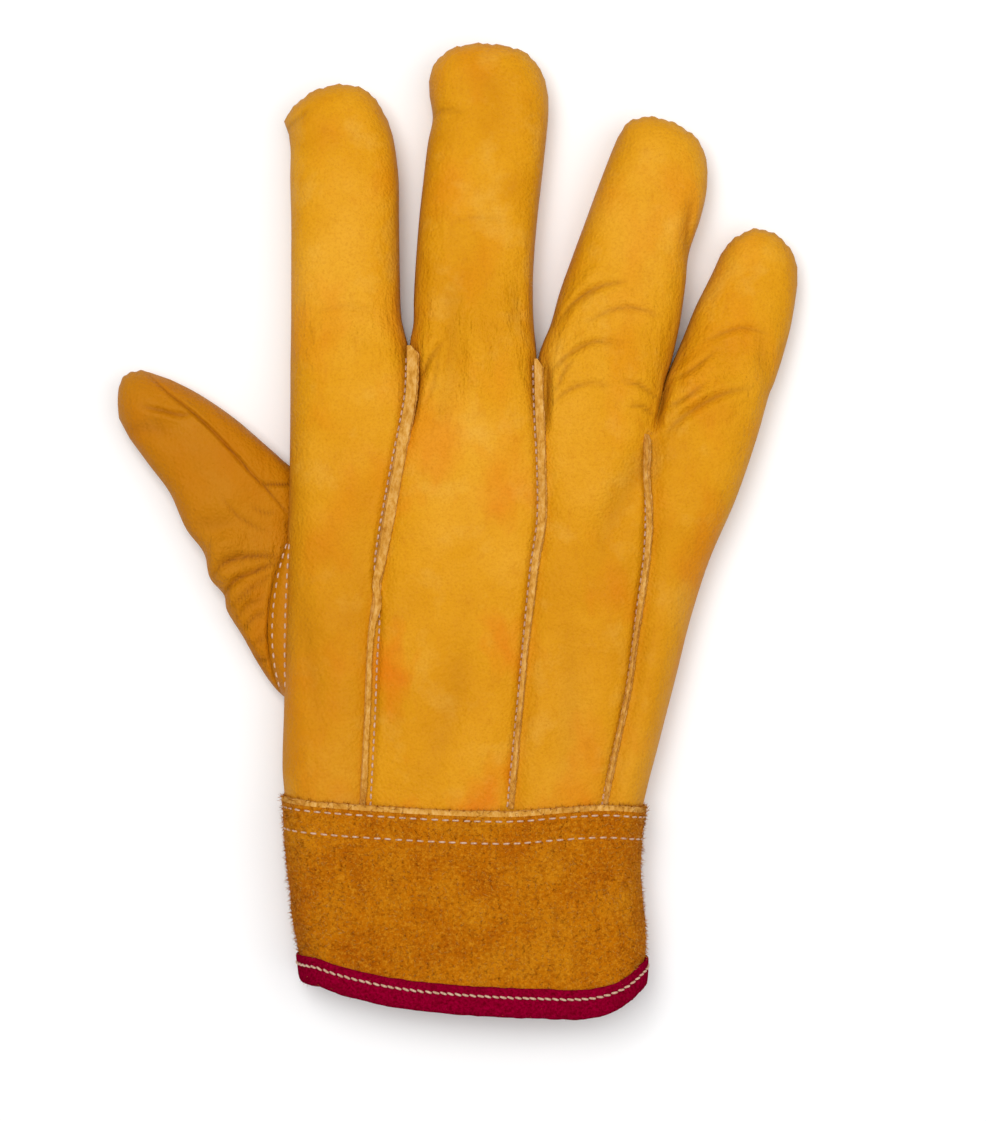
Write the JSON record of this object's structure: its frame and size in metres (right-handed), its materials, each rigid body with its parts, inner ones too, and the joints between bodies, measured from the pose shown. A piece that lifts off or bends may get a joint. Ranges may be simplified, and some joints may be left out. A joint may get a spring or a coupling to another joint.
{
  "type": "leather work glove",
  "caption": "Right-hand leather welding and work glove with strip-built back, wing thumb and a short suede safety cuff with a bound edge.",
  "frame": {"origin": "on the flat underside of the palm, near its middle", "axes": "+Y along the fingers, +Z out of the back of the hand, thumb at -X"},
  "size_m": [0.1963, 0.2767, 0.0315],
  "materials": {
    "grain_leather": "smooth grain, soft sheen",
    "suede": "split suede with a raised nap",
    "raw_edge": "cut flesh-side edge",
    "thread": "twisted sewing thread",
    "binding": "brushed woven tape"
  },
  "bodies": {
    "cuff": {"binding_stitches": "thread", "binding_tape": "binding", "cuff_band": "suede", "cuff_lower_stitches": "thread", "cuff_upper_stitches": "thread", "index_strip_wrist_end": "grain_leather", "little_strip_wrist_end": "grain_leather", "middle_strip_wrist_end": "grain_leather", "palm_wrist_end": "grain_leather", "ring_strip_wrist_end": "grain_leather"},
    "hand": {"gusset_inner_stitches": "thread", "gusset_outer_stitches": "thread", "index_back_strip": "grain_leather", "index_middle_seam_stitches": "thread", "index_middle_seam_welt": "raw_edge", "little_back_strip": "grain_leather", "middle_back_strip": "grain_leather", "middle_ring_seam_stitches": "thread", "middle_ring_seam_welt": "raw_edge", "palm_panel": "grain_leather", "ring_back_strip": "grain_leather", "ring_little_seam_stitches": "thread", "ring_little_seam_welt": "raw_edge", "thumb_gusset": "grain_leather"},
    "index_base": {"index_base_back": "grain_leather", "index_base_front": "grain_leather"},
    "index_mid": {"index_mid_back": "grain_leather", "index_mid_front": "grain_leather"},
    "index_tip": {"index_tip_back": "grain_leather", "index_tip_front": "grain_leather"},
    "little_base": {"little_base_back": "grain_leather", "little_base_front": "grain_leather"},
    "little_mid": {"little_mid_back": "grain_leather", "little_mid_front": "grain_leather"},
    "little_tip": {"little_tip_back": "grain_leather", "little_tip_front": "grain_leather"},
    "middle_base": {"middle_base_back": "grain_leather", "middle_base_front": "grain_leather"},
    "middle_mid": {"middle_mid_back": "grain_leather", "middle_mid_front": "grain_leather"},
    "middle_tip": {"middle_tip_back": "grain_leather", "middle_tip_front": "grain_leather"},
    "ring_base": {"ring_base_back": "grain_leather", "ring_base_front": "grain_leather"},
    "ring_mid": {"ring_mid_back": "grain_leather", "ring_mid_front": "grain_leather"},
    "ring_tip": {"ring_tip_back": "grain_leather", "ring_tip_front": "grain_leather"},
    "thumb_base": {"thumb_base_back": "grain_leather", "thumb_base_front": "grain_leather"},
    "thumb_tip": {"thumb_tip_back": "grain_leather", "thumb_tip_front": "grain_leather"}
  },
  "joints": [
    {"name": "wrist_bend", "type": "hinge", "parent": "hand", "child": "cuff", "pos_m": [0, -0.032, 0.012], "axis": [1, 0, 0], "range_deg": [-25, 25]},
    {"name": "index_base_bend", "type": "hinge", "parent": "hand", "child": "index_base", "pos_m": [-0.0324, 0.089, 0.008], "axis": [-1, 0, 0], "range_deg": [0, 65]},
    {"name": "index_mid_bend", "type": "hinge", "parent": "index_base", "child": "index_mid", "pos_m": [-0.0324, 0.111, 0.008], "axis": [-1, 0, 0], "range_deg": [0, 80]},
    {"name": "index_tip_bend", "type": "hinge", "parent": "index_mid", "child": "index_tip", "pos_m": [-0.0324, 0.134, 0.008], "axis": [-1, 0, 0], "range_deg": [0, 48]},
    {"name": "middle_base_bend", "type": "hinge", "parent": "hand", "child": "middle_base", "pos_m": [0.00434, 0.08951, 0.008], "axis": [-0.9966, 0.0819, 0], "range_deg": [0, 65]},
    {"name": "middle_mid_bend", "type": "hinge", "parent": "middle_base", "child": "middle_mid", "pos_m": [0.00639, 0.11442, 0.008], "axis": [-0.9966, 0.0819, 0], "range_deg": [0, 80]},
    {"name": "middle_tip_bend", "type": "hinge", "parent": "middle_mid", "child": "middle_tip", "pos_m": [0.00869, 0.14233, 0.008], "axis": [-0.9966, 0.0819, 0], "range_deg": [0, 48]},
    {"name": "ring_base_bend", "type": "hinge", "parent": "hand", "child": "ring_base", "pos_m": [0.04322, 0.08603, 0.008], "axis": [-0.9641, 0.2656, 0], "range_deg": [0, 65]},
    {"name": "ring_mid_bend", "type": "hinge", "parent": "ring_base", "child": "ring_mid", "pos_m": [0.04893, 0.10676, 0.008], "axis": [-0.9641, 0.2656, 0], "range_deg": [0, 80]},
    {"name": "ring_tip_bend", "type": "hinge", "parent": "ring_mid", "child": "ring_tip", "pos_m": [0.05477, 0.12797, 0.008], "axis": [-0.9641, 0.2656, 0], "range_deg": [0, 48]},
    {"name": "little_base_bend", "type": "hinge", "parent": "hand", "child": "little_base", "pos_m": [0.07631, 0.08051, 0.0065], "axis": [-0.9489, 0.3156, 0], "range_deg": [0, 65]},
    {"name": "little_mid_bend", "type": "hinge", "parent": "little_base", "child": "little_mid", "pos_m": [0.08026, 0.09237, 0.0065], "axis": [-0.9489, 0.3156, 0], "range_deg": [0, 80]},
    {"name": "little_tip_bend", "type": "hinge", "parent": "little_mid", "child": "little_tip", "pos_m": [0.08436, 0.1047, 0.0065], "axis": [-0.9489, 0.3156, 0], "range_deg": [0, 48]},
    {"name": "thumb_base_swing", "type": "hinge", "parent": "hand", "child": "thumb_base", "pos_m": [-0.03782, 0.015, 0.00065], "axis": [-0.0178, -0.9998, 0], "range_deg": [0, 45]},
    {"name": "thumb_tip_bend", "type": "hinge", "parent": "thumb_base", "child": "thumb_tip", "pos_m": [-0.0718, 0.0508, 0.007], "axis": [-0.788, -0.6157, 0], "range_deg": [0, 50]}
  ]
}
